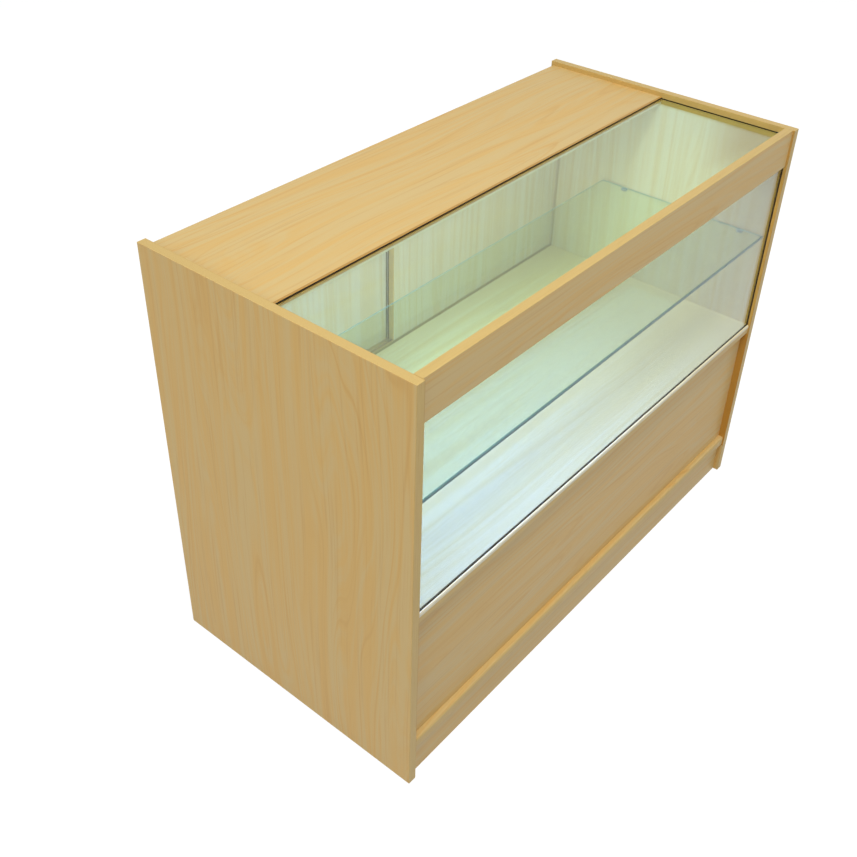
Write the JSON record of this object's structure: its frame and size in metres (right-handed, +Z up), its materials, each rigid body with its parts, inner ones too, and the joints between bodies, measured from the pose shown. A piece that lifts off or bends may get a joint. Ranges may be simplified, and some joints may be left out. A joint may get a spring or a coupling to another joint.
{
  "type": "glass display counter",
  "caption": "Board shop counter with a glass front and glass top over a display deck, a glass shelf, bypass sliding doors at the back and open storage below.",
  "frame": {"origin": "on the floor, under the middle of the counter's width and depth", "axes": "+X to the right along the counter's length as a customer sees the glass front, +Y from the glass front to the back with the sliding doors, +Z up"},
  "size_m": [1.2, 0.6, 0.9],
  "materials": {
    "board": "satin maple-pattern laminate with matching edge bands",
    "worktop_board": "satin maple-pattern laminate, the same boards lying flat",
    "door_board": "satin maple-pattern laminate, grain upright",
    "clear_glass": "clear float glass with ground edges",
    "shelf_glass": "clear float glass with ground green edges",
    "stud_plastic": "clear plastic",
    "track_plastic": "brown extruded plastic",
    "nylon": "natural white nylon",
    "pull_metal": "satin nickel plate",
    "lock_metal": "bright nickel plate",
    "plug_metal": "nickel-washed brass",
    "zinc_steel": "bright zinc plate",
    "beech": "bare beech"
  },
  "bodies": {
    "carcass": {"left_side_panel": "board", "right_side_panel": "board", "base_panel": "board", "front_plinth": "board", "rear_plinth": "board", "lower_front_panel": "board", "display_deck": "board", "front_top_rail": "board", "worktop": "worktop_board", "top_glass": "clear_glass", "front_glass": "clear_glass", "glass_shelf": "shelf_glass", "glass_shelf_studs": "stud_plastic", "upper_door_rail": "board", "lower_door_track": "track_plastic", "upper_door_track": "track_plastic", "storage_shelf": "board", "storage_shelf_pins": "zinc_steel", "cam_locks": "zinc_steel", "cam_bolts": "zinc_steel", "dowels": "beech", "door_rail_screws": "zinc_steel", "floor_glides": "nylon"},
    "left_door": {"left_sliding_door": "door_board", "left_door_glides": "nylon", "left_door_guides": "nylon", "left_finger_pull": "pull_metal", "lock_housing": "lock_metal", "lock_screws": "zinc_steel", "lock_plunger": "lock_metal"},
    "right_door": {"right_sliding_door": "door_board", "right_door_glides": "nylon", "right_door_guides": "nylon", "right_finger_pull": "pull_metal", "lock_strike": "zinc_steel"},
    "lock_plug": {"lock_key_plug": "plug_metal"}
  },
  "joints": [
    {"name": "left_door_slide", "type": "slide", "parent": "carcass", "child": "left_door", "axis": [1, 0, 0], "range_m": [0, 0.565]},
    {"name": "right_door_slide", "type": "slide", "parent": "carcass", "child": "right_door", "axis": [-1, 0, 0], "range_m": [0, 0.565]},
    {"name": "lock_plug_turn", "type": "hinge", "parent": "left_door", "child": "lock_plug", "pos_m": [0, 0.294, 0.65], "axis": [0, 1, 0], "range_deg": [0, 90]}
  ]
}
